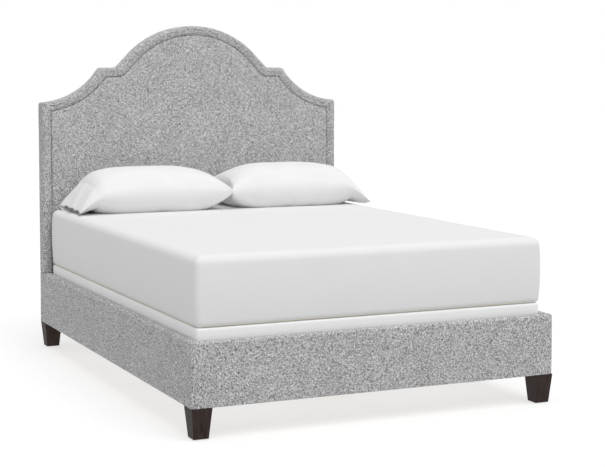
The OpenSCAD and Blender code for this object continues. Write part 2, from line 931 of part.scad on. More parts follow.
module insert_pad() {
    color(linen_white) difference() {
        pillow_form(case_t);
        pillow_form(case_t + tick_t);
    }
}

module case_shell() {
    color(linen_white) difference() {
        union() {
            pillow_form(0);
            hem_form();
        }
        pillow_form(case_t);
    }
}

// Places a pillow on the left or right half, its hem to the outside
module place_pillow(side) {
    x = pillow_mid_x + side * (pillow_gap / 2 + (pillow_w - hem_w) / 2);
    translate([x, pillow_y, pillow_z]) mirror([side > 0 ? 1 : 0, 0, 0]) children();
}

module pillow_insert_left() {
    place_pillow(-1) insert_pad();
}

module pillowcase_left() {
    place_pillow(-1) case_shell();
}

module pillow_insert_right() {
    place_pillow(1) insert_pad();
}

module pillowcase_right() {
    place_pillow(1) case_shell();
}

headboard_panel();
headboard_edge_frame();
headboard_post_left();
headboard_post_right();
headboard_cross_rails();
headboard_center_foam();
headboard_border_foam();
headboard_center_cover();
headboard_border_cover();
headboard_back_cover();
headboard_bolts();
side_rail_left_board();
side_rail_left_foam();
side_rail_left_cover();
side_rail_right_board();
side_rail_right_foam();
side_rail_right_cover();
foot_rail_board();
foot_rail_foam();
foot_rail_cover();
head_rail_board();
head_rail_cover();
slat_ledge_left();
slat_ledge_right();
corner_block_left();
corner_block_right();
head_brackets();
rail_screws();
slats();
deck_screws();
centre_beam();
beam_hangers();
centre_leg_foot();
centre_leg_head();
leveller_foot();
leveller_head();
threaded_inserts();
leg_foot_left();
leg_foot_right();
leg_head_left();
leg_head_right();
leg_bolts();
leg_glides();
box_spring_frame();
box_spring_spacers();
box_spring_slats();
box_spring_pad();
box_spring_cover();
mattress_base_felt();
mattress_edge_foam();
mattress_pocket_rows();
mattress_comfort_foam();
mattress_cover();
fitted_sheet();
pillow_insert_left();
pillowcase_left();
pillow_insert_right();
pillowcase_right();
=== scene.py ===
"""Looks of the upholstered camelback bed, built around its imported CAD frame, in metres."""
import math

import bmesh
import bpy
import numpy as np
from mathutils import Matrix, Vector, noise


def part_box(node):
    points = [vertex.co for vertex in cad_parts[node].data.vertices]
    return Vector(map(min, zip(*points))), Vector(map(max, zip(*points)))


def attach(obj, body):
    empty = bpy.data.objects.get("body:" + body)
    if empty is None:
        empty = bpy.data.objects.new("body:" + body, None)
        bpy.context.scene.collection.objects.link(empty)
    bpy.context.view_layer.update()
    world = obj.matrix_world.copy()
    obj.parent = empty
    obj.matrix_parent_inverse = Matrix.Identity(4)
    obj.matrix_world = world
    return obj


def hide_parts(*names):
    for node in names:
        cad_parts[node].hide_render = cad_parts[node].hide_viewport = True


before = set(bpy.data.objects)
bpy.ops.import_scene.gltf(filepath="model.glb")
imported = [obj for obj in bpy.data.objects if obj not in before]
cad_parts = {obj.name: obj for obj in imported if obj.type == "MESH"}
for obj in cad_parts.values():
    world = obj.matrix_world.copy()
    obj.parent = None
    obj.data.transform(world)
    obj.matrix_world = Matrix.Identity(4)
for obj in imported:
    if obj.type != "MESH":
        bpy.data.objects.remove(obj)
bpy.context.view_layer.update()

MM = 0.001

# --- Sizes shared with the CAD source ---
HEADBOARD_TOP = 1605 * MM
ARCH_RISE = 213 * MM
EAR_RISE = 172 * MM
ARCH_HALF_W = 405 * MM
EAR_W = 90 * MM
FLANK_ANGLE = math.radians(46)
SCOOP_R = 372 * MM
BORDER_W = 46 * MM
PANEL_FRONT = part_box("headboard_panel")[0].y
BOARD_INSET = 9.5 * MM
BOARD_TOP_DROP = 7.5 * MM
BOARD_LOW_RISE = 1.5 * MM
FOOT_CORNER_R = 15 * MM
HEM_WIDTH = 90 * MM

# --- Softness of the upholstery ---
FABRIC_T = 1.4 * MM
GROOVE_HALF = 0.5 * MM
GROOVE_DEPTH = 12 * MM
BORDER_EDGE_ROLL = 12 * MM
BORDER_GROOVE_ROLL = 25 * MM
PAD_ROLL = 14 * MM
BORDER_CROWN = 1.8 * MM
PAD_CROWN = 3 * MM
PAD_CROWN_REACH = 60 * MM
RAIL_ROLL = 12 * MM
RAIL_LOW_ROLL = 3 * MM
RAIL_BULGE = 1.2 * MM
CORNER_PASSES = 6
HIDDEN_GAP = 0.2 * MM
WOOD_INSET = 2.6 * MM
WOOD_EASE = 1 * MM
EDGE_FRAME_IN = 31.5 * MM
# Wrinkles as (size, height, seed)
BORDER_WRINKLES = [(0.12, 0.6 * MM, 0.0), (0.035, 0.25 * MM, 3.0)]
CENTER_WRINKLES = [(0.22, 1.4 * MM, 4.0), (0.07, 0.35 * MM, 9.0)]
SHEET_TOP_WRINKLES = [(0.35, 1.6 * MM, 6.0), (0.1, 0.4 * MM, 8.0)]
# Edges as (inset, step from the face)
BACK_INNER_EDGE = [(6 * MM, 0.1 * MM), (4 * MM, 0.4 * MM)]
BACK_OUTER_EDGE = [(4.4 * MM, -0.2 * MM), (7 * MM, 0.4 * MM), (30 * MM, 0.8 * MM)]
PAD_LOW_EDGE = [(3 * MM, 0), (5 * MM, 3 * MM)]
PAD_TOP_EDGE = [(10 * MM, -0.5 * MM), (16 * MM, -0.2 * MM)]
FOAM_LOW_EDGE = [(1 * MM, 0), (4 * MM, 8 * MM)]
FOAM_TOP_EDGE = [(12 * MM, -10 * MM), (24 * MM, -2.5 * MM), (36 * MM, -0.2 * MM)]


# --- Curves and surfaces ---


def arc(centre, radius, start, end, steps):
    """Points of an arc between two angles in degrees; radius is a number or an (x, y) pair."""
    turn = np.radians(np.linspace(start, end, steps))
    return np.array(centre) + np.stack([np.cos(turn), np.sin(turn)], axis=1) * radius


def line(start, end, steps):
    """Points of a straight line, without its last point."""
    share = np.linspace(0, 1, steps, endpoint=False)[:, None]
    return np.array(start) + share * (np.array(end) - np.array(start))


def soften(points, passes):
    """An open line with its corners rounded by averaging neighbours."""
    out = points.copy()
    for _ in range(passes):
        out[1:-1] = (out[:-2] + 2 * out[1:-1] + out[2:]) / 4
    return out


def ripple(points, size, height, seed=0.0):
    """A smooth random height for each point, with bumps about size across."""
    shift = Vector((seed, 1.7 * seed, -0.6 * seed))
    return np.array([noise.noise(Vector(p) / size + shift) for p in points]) * height


def wrinkles(points, *layers):
    """Several ripples on top of each other, each as (size, height, seed)."""
    return sum(ripple(points, *layer) for layer in layers)


def edge_profile(low, high, low_edge, high_edge):
    """(inset, place) pairs through a slab, its edges given as (inset, step from a face) pairs."""
    first = [(inset, low + step) for inset, step in low_edge]
    return first + [(inset, high + step) for inset, step in high_edge]


def loft(rings, first_cap=True, last_cap=True):
    """Vertices and faces of the surface through closed rings, with a face over each end."""
    rings = np.asarray(rings, float)
    count, width = rings.shape[:2]
    index = np.arange(count * width).reshape(count, width)
    index = np.concatenate([index, index[:, :1]], axis=1)
    quads = np.stack([index[:-1, :-1], index[:-1, 1:], index[1:, 1:], index[1:, :-1]], axis=-1)
    faces = quads.reshape(-1, 4).tolist()
    if first_cap:
        faces.append(index[0, :-1].tolist())
    if last_cap:
        faces.append(index[-1, :-1].tolist())
    return rings.reshape(-1, 3), faces


def make_piece(name, surface, body, stands_for, finish, sharp=60):
    """A mesh piece with outward normals that rides on a body and stands for CAD nodes."""
    vertices, faces = surface
    mesh = bpy.data.meshes.new(name)
    mesh.from_pydata([tuple(v) for v in vertices], [], faces)
    form = bmesh.new()
    form.from_mesh(mesh)
    bmesh.ops.remove_doubles(form, verts=form.verts, dist=0.01 * MM)
    bmesh.ops.recalc_face_normals(form, faces=form.faces)
    form.to_mesh(mesh)
    form.free()
    mesh.polygons.foreach_set("use_smooth", [True] * len(mesh.polygons))
    mesh.set_sharp_from_angle(angle=math.radians(sharp))
    piece = bpy.data.objects.new(name, mesh)
    bpy.context.scene.collection.objects.link(piece)
    mesh.materials.append(MATERIALS[finish])
    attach(piece, body)
    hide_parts(*stands_for)
    return piece


# --- Materials ---


class Shader:
    """A Principled material with small helpers that add and join nodes."""

    def __init__(self, name, roughness, **sockets):
        self.material = bpy.data.materials.new(name)
        self.material.use_nodes = True
        self.nodes = self.material.node_tree.nodes
        self.links = self.material.node_tree.links
        self.surface = self.nodes["Principled BSDF"]
        self.surface.inputs["Roughness"].default_value = roughness
        for socket, value in sockets.items():
            self.surface.inputs[socket.replace("_", " ")].default_value = value

    def join(self, source, target):
        """Sets a socket from another socket, or from a number or tuple."""
        if isinstance(source, bpy.types.NodeSocket):
            self.links.new(source, target)
        else:
            target.default_value = source

    def coordinates(self, kind="Object"):
        return self.nodes.new("ShaderNodeTexCoord").outputs[kind]

    def scaled(self, vector, scale, turn=0.0):
        """Coordinates turned in their plane by degrees, then scaled."""
        node = self.nodes.new("ShaderNodeMapping")
        self.join(vector, node.inputs["Vector"])
        node.inputs["Rotation"].default_value = (0.0, 0.0, math.radians(turn))
        node.inputs["Scale"].default_value = scale
        return node.outputs["Vector"]

    def noise(self, vector, scale, detail=2.0, roughness=0.5, distortion=0.0):
        node = self.nodes.new("ShaderNodeTexNoise")
        self.join(vector, node.inputs["Vector"])
        node.inputs["Scale"].default_value = scale
        node.inputs["Detail"].default_value = detail
        node.inputs["Roughness"].default_value = roughness
        node.inputs["Distortion"].default_value = distortion
        return node.outputs["Fac"]

    def math(self, operation, first, second=0.0):
        node = self.nodes.new("ShaderNodeMath")
        node.operation = operation
        self.join(first, node.inputs[0])
        self.join(second, node.inputs[1])
        return node.outputs["Value"]

    def mix(self, share, first, second):
        """Mixes two numbers."""
        node = self.nodes.new("ShaderNodeMix")
        self.join(share, node.inputs["Factor"])
        self.join(first, node.inputs["A"])
        self.join(second, node.inputs["B"])
        return node.outputs["Result"]

    def ramp(self, value, stops):
        """Colours by value; stops are (position, colour)."""
        node = self.nodes.new("ShaderNodeValToRGB")
        elements = node.color_ramp.elements
        while len(elements) < len(stops):
            elements.new(0.5)
        for element, (position, colour) in zip(elements, stops):
            element.position = position
            element.color = (*colour, 1.0)
        self.join(value, node.inputs["Fac"])
        return node.outputs["Color"]

    def tint(self, colour, amount, low, high):
        """Multiplies a colour by a grey that runs from low to high with amount."""
        grey = self.ramp(amount, [(0.25, (low,) * 3), (0.75, (high,) * 3)])
        node = self.nodes.new("ShaderNodeVectorMath")
        node.operation = "MULTIPLY"
        self.join(colour, node.inputs[0])
        self.join(grey, node.inputs[1])
        return node.outputs["Vector"]

    def bricks(self, vector, length, height, mortar):
        """Rows of dashes: a random shade for each dash, and 1 in the gaps between them."""
        node = self.nodes.new("ShaderNodeTexBrick")
        self.join(vector, node.inputs["Vector"])
        node.inputs["Color1"].default_value = (0.0, 0.0, 0.0, 1.0)
        node.inputs["Color2"].default_value = (1.0, 1.0, 1.0, 1.0)
        node.inputs["Mortar"].default_value = (0.5, 0.5, 0.5, 1.0)
        node.inputs["Scale"].default_value = 1.0
        node.inputs["Mortar Size"].default_value = mortar
        node.inputs["Mortar Smooth"].default_value = 1.0
        node.inputs["Brick Width"].default_value = length
        node.inputs["Row Height"].default_value = height
        return node.outputs["Color"], node.outputs["Fac"]

    def colour(self, value):
        self.join(value, self.surface.inputs["Base Color"])

    def roughness(self, value):
        self.join(value, self.surface.inputs["Roughness"])

    def bump(self, layers):
        """Stacks bumps; layers are (height, distance in metres, strength)."""
        normal = None
        for height, distance, strength in layers:
            node = self.nodes.new("ShaderNodeBump")
            node.inputs["Distance"].default_value = distance
            node.inputs["Strength"].default_value = strength
            self.join(height, node.inputs["Height"])
            if normal is not None:
                self.join(normal, node.inputs["Normal"])
            normal = node.outputs["Normal"]
        self.join(normal, self.surface.inputs["Normal"])


def flat_coordinates(shader):
    """Coordinates along the cloth, taken from the side that a face looks to."""
    place = shader.nodes.new("ShaderNodeSeparateXYZ")
    shader.join(shader.coordinates("Object"), place.inputs[0])
    facing = shader.nodes.new("ShaderNodeSeparateXYZ")
    shader.join(shader.coordinates("Normal"), facing.inputs[0])
    x, y, z = place.outputs
    diagonal = math.sqrt(0.5)
    is_side = shader.math("GREATER_THAN", shader.math("ABSOLUTE", facing.outputs[0]), diagonal)
    is_top = shader.math("GREATER_THAN", shader.math("ABSOLUTE", facing.outputs[2]), diagonal)
    along = shader.mix(is_side, x, y)
    up = shader.mix(is_top, z, y)
    joined = shader.nodes.new("ShaderNodeCombineXYZ")
    shader.join(along, joined.inputs[0])
    shader.join(up, joined.inputs[1])
    return joined.outputs[0]


def tweed():
    """Heathered tweed: patches of light, grey and black yarn dashes on the two diagonals, with
    painted shade in the gaps between them.
    """
    yarn, dash, gap, patch = 1.3, 4.2, 0.2, 210.0
    shader = Shader("tweed", 0.95, Sheen_Weight=0.15, Sheen_Roughness=0.5, Specular_IOR_Level=0.15)
    cloth = flat_coordinates(shader)
    rising, rising_gap = shader.bricks(shader.scaled(cloth, (1 / MM,) * 3, 45), dash, yarn, gap)
    falling, falling_gap = shader.bricks(shader.scaled(cloth, (1 / MM,) * 3, -45), dash, yarn, gap)
    turned = shader.math("GREATER_THAN", shader.noise(cloth, patch, 2.0), 0.5)
    threads = shader.mix(turned, rising, falling)
    gaps = shader.mix(turned, rising_gap, falling_gap)
    fuzz = shader.noise(cloth, 900.0, 2.0)
    blend = shader.mix(0.15, threads, fuzz)
    black, dark = (0.020,) * 3, (0.16, 0.157, 0.16)
    grey, pale = (0.50, 0.492, 0.50), (0.90, 0.89, 0.90)
    yarns = shader.ramp(blend, [(0.26, black), (0.38, dark), (0.48, grey), (0.60, pale)])
    # Painted shade: the colour is darkened to 0.72 in the gaps between the yarn dashes, the recesses
    # that the bump below sinks.
    gap_shaded_yarns = shader.tint(yarns, gaps, 1.0, 0.72)
    patches = shader.noise(shader.coordinates("Object"), 9.0, 3.0)
    shader.colour(shader.tint(gap_shaded_yarns, patches, 0.94, 1.05))
    raised = shader.math("SUBTRACT", 1.0, gaps)
    shader.bump([(raised, 0.5 * MM, 0.5), (blend, 0.6 * MM, 0.4), (fuzz, 0.3 * MM, 0.4)])
    return shader.material


def cotton(name, base, crumple, weave_scale=1400.0):
    """Woven white cotton with a fine weave and soft creases, with painted shade in the crease
    hollows.
    """
    shader = Shader(name, 0.9, Sheen_Weight=0.12, Sheen_Roughness=0.6, Specular_IOR_Level=0.2)
    cloth = flat_coordinates(shader)
    warp = shader.noise(shader.scaled(cloth, (weave_scale, weave_scale / 5, 1)), 1.0, 1.0)
    weft = shader.noise(shader.scaled(cloth, (weave_scale / 5, weave_scale, 1)), 1.0, 1.0)
    weave = shader.math("ADD", warp, weft)
    folds_and_crease_shade = shader.noise(shader.coordinates("Object"), 7.0, 4.0, 0.5, 0.6)
    slub = shader.ramp(weave, [(0.0, tuple(0.97 * c for c in base)), (1.0, base)])
    # Painted shade: the colour is darkened by up to 1.5 % where the soft folds of the bump sink.
    shader.colour(shader.tint(slub, folds_and_crease_shade, 0.985, 1.0))
    shader.bump([(folds_and_crease_shade, crumple, 0.6), (weave, 0.12 * MM, 0.35)])
    return shader.material


def ticking():
    """Pillow ticking: white cotton with thin blue-grey stripes."""
    shader = Shader("ticking", 0.85, Sheen_Weight=0.1, Specular_IOR_Level=0.2)
    cloth = flat_coordinates(shader)
    stripes = shader.nodes.new("ShaderNodeTexWave")
    stripes.inputs["Scale"].default_value = 12.0
    shader.join(cloth, stripes.inputs["Vector"])
    blue, white = (0.35, 0.40, 0.47), (0.84, 0.84, 0.82)
    shader.colour(shader.ramp(stripes.outputs["Fac"], [(0.05, blue), (0.16, white)]))
    weave = shader.noise(cloth, 1200.0, 1.0)
    shader.bump([(weave, 0.15 * MM, 0.4)])
    return shader.material


def quilted_knit():
    """Mattress fabric: off-white knit with small quilted diamonds."""
    shader = Shader("quilted_knit", 0.85, Sheen_Weight=0.15, Specular_IOR_Level=0.2)
    cloth = shader.scaled(flat_coordinates(shader), (1, 1, 1), 45)
    quilt = shader.nodes.new("ShaderNodeTexVoronoi")
    quilt.feature = "DISTANCE_TO_EDGE"
    quilt.inputs["Randomness"].default_value = 0.0
    quilt.inputs["Scale"].default_value = 22.0
    shader.join(cloth, quilt.inputs["Vector"])
    puff = shader.math("MINIMUM", quilt.outputs["Distance"], 0.2)
    knit = shader.noise(cloth, 700.0, 1.0)
    shader.colour(shader.tint((0.84, 0.83, 0.80), knit, 0.95, 1.0))
    shader.bump([(puff, 8 * MM, 0.5), (knit, 0.2 * MM, 0.4)])
    return shader.material


def foam():
    """Open-cell foam."""
    shader = Shader("foam_cells", 0.95, Specular_IOR_Level=0.1)
    cells = shader.noise(shader.coordinates(), 450.0, 3.0, 0.7)
    shader.colour(shader.ramp(cells, [(0.3, (0.66, 0.60, 0.42)), (0.7, (0.88, 0.83, 0.64))]))
    shader.bump([(cells, 0.5 * MM, 0.6)])
    return shader.material


def wood(name, dark, light, grain_axis, roughness, fine=1.0, **sockets):
    """Wood whose grain runs along one axis, with rings, fibres and pores."""
    shader = Shader(name, roughness, **sockets)
    ring_scale, fibre_scale = [1.0] * 3, [1.0] * 3
    ring_scale[grain_axis], fibre_scale[grain_axis] = 0.06, 0.02
    rings = shader.noise(shader.scaled(shader.coordinates(), ring_scale), 22.0 * fine, 3.0, 0.55, 1.2)
    fibres = shader.noise(shader.scaled(shader.coordinates(), fibre_scale), 420.0, 2.0)
    figure = shader.ramp(rings, [(0.32, dark), (0.52, light), (0.60, dark), (0.72, light)])
    shader.colour(shader.tint(figure, fibres, 0.78, 1.08))
    shader.roughness(shader.mix(fibres, roughness - 0.08, roughness + 0.12))
    shader.bump([(fibres, 0.15 * MM, 0.4), (rings, 0.3 * MM, 0.2)])
    return shader.material


def plywood():
    """Birch plywood with its layers showing on the edges."""
    shader = Shader("plywood_layers", 0.6, Specular_IOR_Level=0.3)
    place = shader.coordinates()
    figure = shader.noise(shader.scaled(place, (0.5, 6.0, 6.0)), 9.0, 4.0, 0.6, 0.8)
    plies = shader.nodes.new("ShaderNodeTexWave")
    plies.bands_direction = "Y"
    plies.inputs["Scale"].default_value = 110.0
    shader.join(place, plies.inputs["Vector"])
    birch = shader.ramp(figure, [(0.35, (0.60, 0.44, 0.27)), (0.65, (0.76, 0.61, 0.42))])
    shader.colour(shader.tint(birch, plies.outputs["Fac"], 0.86, 1.04))
    shader.bump([(figure, 0.2 * MM, 0.3)])
    return shader.material


def metal(name, dark, light, roughness):
    """Plated metal with faint blotches and fine scratches."""
    shader = Shader(name, roughness, Metallic=1.0)
    blotch = shader.noise(shader.coordinates(), 60.0, 3.0)
    scratch = shader.noise(shader.scaled(shader.coordinates(), (1.0, 30.0, 4.0)), 90.0, 2.0)
    shader.colour(shader.ramp(blotch, [(0.3, dark), (0.7, light)]))
    shader.roughness(shader.mix(scratch, roughness - 0.1, roughness + 0.15))
    shader.bump([(scratch, 0.03 * MM, 0.3)])
    return shader.material


def plastic():
    """Moulded plastic with a fine texture."""
    shader = Shader("moulded_plastic", 0.5, Specular_IOR_Level=0.4)
    grain = shader.noise(shader.coordinates(), 1500.0, 2.0)
    shader.colour(shader.ramp(grain, [(0.3, (0.055, 0.053, 0.05)), (0.7, (0.085, 0.083, 0.08))]))
    shader.bump([(grain, 0.08 * MM, 0.4)])
    return shader.material


def make_materials():
    """Every finish by the record's slot name."""
    pine_dark, pine_light = (0.62, 0.42, 0.22), (0.80, 0.62, 0.39)
    stain_dark, stain_light = (0.024, 0.014, 0.012), (0.050, 0.033, 0.029)
    pine = {"dark": pine_dark, "light": pine_light, "roughness": 0.6, "Specular_IOR_Level": 0.3}
    return {
        "upholstery": tweed(),
        "foam": foam(),
        "plywood": plywood(),
        "timber": wood("pine_across", grain_axis=0, **pine),
        "timber_long": wood("pine_lengthways", grain_axis=1, **pine),
        "timber_up": wood("pine_upright", grain_axis=2, **pine),
        "dark_wood": wood(
            "espresso_stain", stain_dark, stain_light, 2, 0.5, 2.5, Specular_IOR_Level=0.15,
        ),
        "zinc_steel": metal("zinc_plate", (0.48, 0.49, 0.50), (0.62, 0.63, 0.65), 0.38),
        "brass_insert": metal("brass", (0.60, 0.42, 0.16), (0.78, 0.58, 0.26), 0.32),
        "glide_plastic": plastic(),
        "box_spring_fabric": cotton("box_spring_cloth", (0.95, 0.95, 0.95), 0.6 * MM, 900.0),
        "mattress_fabric": quilted_knit(),
        "sheet_cotton": cotton("sheet_percale", (0.84, 0.84, 0.84), 1.2 * MM),
        "pillow_cotton": cotton("pillowcase_percale", (0.86, 0.86, 0.86), 2.0 * MM),
        "pillow_ticking": ticking(),
    }


MATERIALS = make_materials()
CAD_FINISH = {
    "foam": ["mattress_base_felt", "mattress_edge_foam"],
    "timber": [
        "headboard_cross_rails", "foot_rail_board", "head_rail_board", "slats",
        "box_spring_spacers", "box_spring_slats",
    ],
    "timber_long": [
        "side_rail_left_board", "side_rail_right_board", "slat_ledge_left", "slat_ledge_right",
        "centre_beam", "box_spring_frame",
    ],
    "timber_up": [
        "headboard_post_left", "headboard_post_right", "corner_block_left", "corner_block_right",
        "centre_leg_foot", "centre_leg_head",
    ],
    "dark_wood": ["leg_foot_left", "leg_foot_right", "leg_head_left", "leg_head_right"],
    "zinc_steel": [
        "headboard_bolts", "head_brackets", "rail_screws", "deck_screws", "beam_hangers",
        "leveller_foot", "leveller_head", "leg_bolts",
    ],
    "brass_insert": ["threaded_inserts"],
    "glide_plastic": ["leg_glides"],
    "mattress_fabric": ["mattress_pocket_rows"],
}
BEVELS = {
    "dark_wood": 1.6 * MM, "timber": 1.0 * MM, "timber_long": 1.0 * MM, "timber_up": 1.0 * MM,
}


def finish_cad_nodes():
    """Gives the CAD nodes that stay their materials, and eased edges where they are wood."""
    for finish, names in CAD_FINISH.items():
        for name in names:
            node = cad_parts[name]
            node.data.materials.clear()
            node.data.materials.append(MATERIALS[finish])
            if finish in BEVELS:
                weld = node.modifiers.new("weld", "WELD")
                weld.merge_threshold = 0.01 * MM
                bevel = node.modifiers.new("eased_edges", "BEVEL")
                bevel.width = BEVELS[finish]
                bevel.segments = 2
                bevel.limit_method = "ANGLE"


# --- Headboard ---

cover_low, cover_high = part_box("headboard_border_cover")
HALF_W = cover_high.x
HEAD_FRONT = cover_low.y
HEAD_BACK = cover_high.y
HEAD_BASE = cover_low.z
EAR_Z = HEADBOARD_TOP - ARCH_RISE
SHOULDER_Z = EAR_Z - EAR_RISE
EAR_OUT = ARCH_HALF_W + EAR_W
ARCH_R = (ARCH_HALF_W * math.sin(FLANK_ANGLE) - ARCH_RISE * math.cos(FLANK_ANGLE)) / (
    1 - math.cos(FLANK_ANGLE)
)
ARCH_Z = HEADBOARD_TOP - ARCH_R
SIDE_STEPS, SCOOP_STEPS, EAR_STEPS, FLANK_STEPS, ARCH_STEPS, FOOT_STEPS = 150, 74, 18, 20, 75, 60


def scoop_centre():
    """Centre of the hollow on the right, between the shoulder and the ear."""
    chord = Vector((HALF_W - EAR_OUT, EAR_RISE))
    away = math.sqrt(SCOOP_R**2 - (chord.length / 2) ** 2)
    middle = Vector(((HALF_W + EAR_OUT) / 2, (EAR_Z + SHOULDER_Z) / 2))
    return middle + away * Vector((chord.y, chord.x)) / chord.length


def half_outline(inset, base):
    """Outline of the right half of the headboard, from its foot to the peak, moved inwards."""
    centre = scoop_centre()
    scoop, arch = SCOOP_R + inset, ARCH_R - inset
    edge, ear = HALF_W - inset, EAR_Z - inset
    start = -math.degrees(math.acos((edge - centre.x) / scoop))
    end = -180 - math.degrees(math.asin((ear - centre.y) / scoop))
    hollow = arc(centre, scoop, start, end, SCOOP_STEPS)
    foot = ARCH_HALF_W - inset * math.tan(FLANK_ANGLE / 2)
    tangent = (arch * math.sin(FLANK_ANGLE), ARCH_Z + arch * math.cos(FLANK_ANGLE))
    crown = arc((0, ARCH_Z), arch, 90 - math.degrees(FLANK_ANGLE), 90, ARCH_STEPS)
    return np.concatenate([
        line((edge, base), hollow[0], SIDE_STEPS),
        hollow[:-1],
        line(hollow[-1], (foot, ear), EAR_STEPS),
        line((foot, ear), tangent, FLANK_STEPS),
        crown,
    ])


def outline(inset, base):
    """Whole outline from the right foot over the peak to the left foot, corners rounded."""
    right = half_outline(inset, base)
    left = right[-2::-1] * (-1, 1)
    return soften(np.concatenate([right, left]), CORNER_PASSES)


def closed_outline(inset, base):
    """The outline closed along its foot."""
    shape = outline(inset, base)
    return np.concatenate([shape, line(shape[-1], shape[0], FOOT_STEPS)[1:]])


def upright(shape, y):
    """Points of a front view placed at a depth."""
    return np.column_stack([shape[:, 0], np.full(len(shape), y), shape[:, 1]])


def border_profile():
    """Closed section of the padded border: rolled front, side and the hidden inner face."""
    wall = BORDER_W - GROOVE_HALF
    groove_roll = arc(
        (wall - BORDER_GROOVE_ROLL, HEAD_FRONT + GROOVE_DEPTH),
        (BORDER_GROOVE_ROLL, GROOVE_DEPTH), 0, -90, 12,
    )
    edge_roll = arc(
        (BORDER_EDGE_ROLL, HEAD_FRONT + BORDER_EDGE_ROLL), BORDER_EDGE_ROLL, -90, -180, 10,
    )
    front = line(groove_roll[-1], edge_roll[0], 8)[1:]
    front[:, 1] -= BORDER_CROWN * np.sin(np.pi * np.arange(1, 8) / 8)
    back_r = 2.8 * MM
    side = line((-0.4 * MM, PANEL_FRONT), (0, HEAD_BACK - back_r), 4)
    back = arc((back_r, HEAD_BACK - back_r), back_r, 180, 90, 4)
    inside = [
        (back_r, HEAD_BACK - FABRIC_T), (FABRIC_T, HEAD_BACK - 2 * FABRIC_T),
        (FABRIC_T, PANEL_FRONT - HIDDEN_GAP),
    ]
    foot = (wall, PANEL_FRONT - HIDDEN_GAP)
    return [foot, *groove_roll, *front, *edge_roll, *side, *back, *inside]


def headboard_border():
    """Padded band round the edge, with its side and returned back edge."""
    rings = np.array([upright(outline(inset, HEAD_BASE), y) for inset, y in border_profile()])
    flat = rings.reshape(-1, 3)
    front = flat[:, 1] < PANEL_FRONT - 8 * MM
    flat[:, 1] += wrinkles(flat, *BORDER_WRINKLES) * front
    piece = make_piece(
        "headboard_border", loft(rings.transpose(1, 0, 2)), "frame",
        ["headboard_border_cover", "headboard_border_foam"], "upholstery",
    )


def headboard_center():
    """Padded centre panel inside the groove: rolled edges and a slightly crowned face."""
    wall = BORDER_W + GROOVE_HALF
    roll = arc((wall + PAD_ROLL, HEAD_FRONT + GROOVE_DEPTH), (PAD_ROLL, GROOVE_DEPTH), 180, 270, 12)
    swell = [
        (wall + PAD_ROLL + PAD_CROWN_REACH * t, HEAD_FRONT - PAD_CROWN * math.sin(math.pi / 2 * t))
        for t in np.linspace(0, 1, 9)[1:]
    ]
    profile = [(wall, PANEL_FRONT - HIDDEN_GAP), *roll, *swell]
    rings = [upright(closed_outline(inset, HEAD_BASE + inset - wall), y) for inset, y in profile]
    middle = np.array([0.0, profile[-1][1], (HEAD_BASE + SHOULDER_Z) / 2])
    rings = np.array(close_over(rings, middle, 16))
    flat = rings.reshape(-1, 3)
    front = flat[:, 1] < HEAD_FRONT + 2 * MM
    flat[:, 1] += wrinkles(flat, *CENTER_WRINKLES) * front
    piece = make_piece(
        "headboard_center", loft(rings), "frame",
        ["headboard_center_cover", "headboard_center_foam"], "upholstery",
    )


def eased_box(low_inset, high_inset, front, back):
    """Section of a board with eased edges, as (inset, y) points."""
    return [
        (low_inset, front + WOOD_EASE), (low_inset, back - WOOD_EASE),
        (low_inset + WOOD_EASE, back), (high_inset - WOOD_EASE, back),
        (high_inset, back - WOOD_EASE), (high_inset, front + WOOD_EASE),
        (high_inset - WOOD_EASE, front), (low_inset + WOOD_EASE, front),
    ]


def headboard_plywood():
    """Plywood panel and the frame behind its edge, with the corners of the padding's outline."""
    low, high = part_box("headboard_panel")
    profile = [
        (WOOD_INSET + WOOD_EASE, low.y), (WOOD_INSET, low.y + WOOD_EASE),
        (WOOD_INSET, high.y - WOOD_EASE), (WOOD_INSET + WOOD_EASE, high.y),
    ]
    rings = [upright(closed_outline(inset, low.z), y) for inset, y in profile]
    make_piece(
        "headboard_panel_plywood", loft(rings), "frame", ["headboard_panel"], "plywood",
        sharp=30,
    )
    low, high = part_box("headboard_edge_frame")
    section = eased_box(WOOD_INSET, EDGE_FRAME_IN, low.y, high.y - HIDDEN_GAP)
    rings = np.array([upright(outline(inset, low.z), y) for inset, y in section])
    make_piece(
        "headboard_edge_plywood", loft(rings.transpose(1, 0, 2)), "frame",
        ["headboard_edge_frame"], "plywood", sharp=30,
    )


def shoelace(shape):
    """Area inside a closed outline."""
    x, z = shape.T
    return abs(np.dot(x, np.roll(z, -1)) - np.dot(z, np.roll(x, -1))) / 2


def headboard_back():
    """Cloth panel tacked over the back, a little short of the edges."""
    low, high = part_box("headboard_back_cover")
    profile = edge_profile(low.y, high.y, BACK_INNER_EDGE, BACK_OUTER_EDGE)
    rings = [upright(closed_outline(inset, HEAD_BASE + inset), y) for inset, y in profile]
    middle = np.array([0.0, profile[-1][1], (HEAD_BASE + SHOULDER_Z) / 2])
    rings = np.array(close_over(rings, middle, 12))
    flat = rings.reshape(-1, 3)
    flat[:, 1] += ripple(flat, 0.25, 0.5 * MM, 11.0) * (flat[:, 1] > high.y)
    piece = make_piece(
        "headboard_back", loft(rings), "frame", ["headboard_back_cover"], "upholstery",
    )
    shoelace(closed_outline(0, HEAD_BASE))


# --- Rails ---

rail_low, rail_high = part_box("foot_rail_cover")
RAIL_Z = rail_low.z
RAIL_TOP = rail_high.z
FOOT_FRONT = rail_low.y
FOOT_BACK = rail_high.y
RAIL_T = FOOT_BACK - FOOT_FRONT
HEAD_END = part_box("side_rail_left_cover")[1].y
BOARD_POINTS = 4


